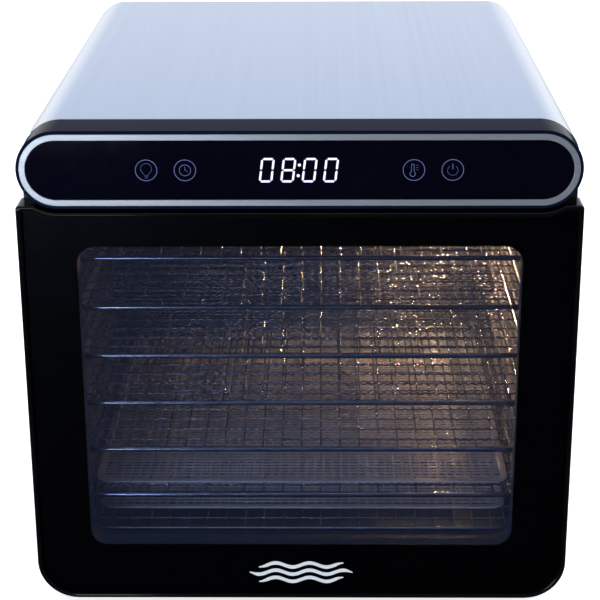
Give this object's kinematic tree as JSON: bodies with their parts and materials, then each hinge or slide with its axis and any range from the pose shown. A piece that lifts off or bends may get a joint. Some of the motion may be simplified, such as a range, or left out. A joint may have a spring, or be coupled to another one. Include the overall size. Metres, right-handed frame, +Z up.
{
  "type": "food dehydrator",
  "caption": "Box food dehydrator with a steel case, side-hinged glazed door, sliding wire racks, rear fan and heater, and a touch control bar.",
  "frame": {"origin": "middle of the footprint on the surface the feet stand on", "axes": "+Z up, -Y towards the door, +X to the right seen from the front"},
  "size_m": [0.343, 0.451, 0.32],
  "materials": {
    "case_steel": "satin silver-blue",
    "zinc_sheet": "zinc-plated",
    "liner_steel": "satin",
    "bright_steel": "plated",
    "trim_silver": "satin",
    "gloss_black": "piano black",
    "satin_black": "fine texture",
    "door_glass": "smoked clear",
    "glass_print": "black print behind glass",
    "rack_chrome": "bright plated wire",
    "screen_mesh": "fine moulded mesh",
    "seal_rubber": "matte",
    "circuit_board": "solder mask",
    "heater_metal": "heat-tinted",
    "lamp_glass": "clear",
    "bulb_glass": "frosted",
    "display_glow": "lit segments",
    "icon_glow": "lit outlines",
    "white_mark": "white print"
  },
  "bodies": {
    "cabinet": {"outer_casing": "case_steel", "rear_panel": "case_steel", "base_pan": "zinc_sheet", "inner_liner": "liner_steel", "fan_guard": "liner_steel", "rack_guide_left": "liner_steel", "rack_guide_right": "liner_steel", "front_frame": "satin_black", "rear_cover": "satin_black", "control_housing": "gloss_black", "touch_panel": "gloss_black", "trim_ring": "trim_silver", "cord_inlet": "seal_rubber", "display_module": "satin_black", "control_board": "circuit_board", "power_board": "circuit_board", "fan_motor": "zinc_sheet", "motor_bracket": "zinc_sheet", "heating_element": "heater_metal", "thermal_cutout": "satin_black", "temperature_sensor": "bright_steel", "lamp_holder": "satin_black", "lamp_bulb": "bulb_glass", "lamp_lens": "lamp_glass", "foot_front_left": "seal_rubber", "foot_front_right": "seal_rubber", "foot_back_left": "seal_rubber", "foot_back_right": "seal_rubber", "rear_screw_left_lower": "bright_steel", "rear_screw_left_upper": "bright_steel", "rear_screw_right_lower": "bright_steel", "rear_screw_right_upper": "bright_steel", "hinge_lower_case_leaf": "zinc_sheet", "hinge_lower_pin": "bright_steel", "latch_strike_lower": "bright_steel", "hinge_upper_case_leaf": "zinc_sheet", "hinge_upper_pin": "bright_steel", "latch_strike_upper": "bright_steel"},
    "door": {"door_frame": "gloss_black", "door_glass": "door_glass", "door_inner_frame": "satin_black", "door_gasket": "seal_rubber", "hinge_lower_door_leaf": "zinc_sheet", "hinge_upper_door_leaf": "zinc_sheet", "latch_magnet_lower": "bright_steel", "latch_magnet_upper": "bright_steel"},
    "rack_1": {"rack_1": "rack_chrome"},
    "rack_2": {"rack_2": "rack_chrome"},
    "rack_3": {"rack_3": "rack_chrome"},
    "rack_4": {"rack_4": "rack_chrome"},
    "rack_5": {"rack_5": "rack_chrome"},
    "rack_6": {"rack_6": "rack_chrome", "mesh_screen_upper": "screen_mesh"},
    "rack_7": {"rack_7": "rack_chrome", "mesh_screen_lower": "screen_mesh"},
    "drip_tray": {"drip_tray": "liner_steel"},
    "fan": {"fan_rotor": "satin_black", "motor_shaft": "bright_steel"}
  },
  "joints": [
    {"name": "door_hinge", "type": "hinge", "parent": "cabinet", "child": "door", "pos_m": [-0.1685, -0.2, 0.13], "axis": [0, 0, -1], "range_deg": [0, 110]},
    {"name": "fan_spin", "type": "hinge", "parent": "cabinet", "child": "fan", "pos_m": [0, 0.182, 0.142], "axis": [0, 1, 0], "continuous": true},
    {"name": "rack_1_slide", "type": "slide", "parent": "cabinet", "child": "rack_1", "axis": [0, -1, 0], "range_m": [0, 0.3]},
    {"name": "rack_2_slide", "type": "slide", "parent": "cabinet", "child": "rack_2", "axis": [0, -1, 0], "range_m": [0, 0.3]},
    {"name": "rack_3_slide", "type": "slide", "parent": "cabinet", "child": "rack_3", "axis": [0, -1, 0], "range_m": [0, 0.3]},
    {"name": "rack_4_slide", "type": "slide", "parent": "cabinet", "child": "rack_4", "axis": [0, -1, 0], "range_m": [0, 0.3]},
    {"name": "rack_5_slide", "type": "slide", "parent": "cabinet", "child": "rack_5", "axis": [0, -1, 0], "range_m": [0, 0.3]},
    {"name": "rack_6_slide", "type": "slide", "parent": "cabinet", "child": "rack_6", "axis": [0, -1, 0], "range_m": [0, 0.3]},
    {"name": "rack_7_slide", "type": "slide", "parent": "cabinet", "child": "rack_7", "axis": [0, -1, 0], "range_m": [0, 0.3]},
    {"name": "drip_tray_slide", "type": "slide", "parent": "cabinet", "child": "drip_tray", "axis": [0, -1, 0], "range_m": [0, 0.3]}
  ],
  "couplings": [
    {"joint": "rack_1_slide", "follows": "door_hinge", "m_per_rad": 0.036},
    {"joint": "rack_2_slide", "follows": "door_hinge", "m_per_rad": 0.036},
    {"joint": "rack_3_slide", "follows": "door_hinge", "m_per_rad": 0.036},
    {"joint": "rack_4_slide", "follows": "door_hinge", "m_per_rad": 0.036},
    {"joint": "rack_5_slide", "follows": "door_hinge", "m_per_rad": 0.036},
    {"joint": "rack_6_slide", "follows": "door_hinge", "m_per_rad": 0.036},
    {"joint": "rack_7_slide", "follows": "door_hinge", "m_per_rad": 0.036},
    {"joint": "drip_tray_slide", "follows": "door_hinge", "m_per_rad": 0.036}
  ]
}
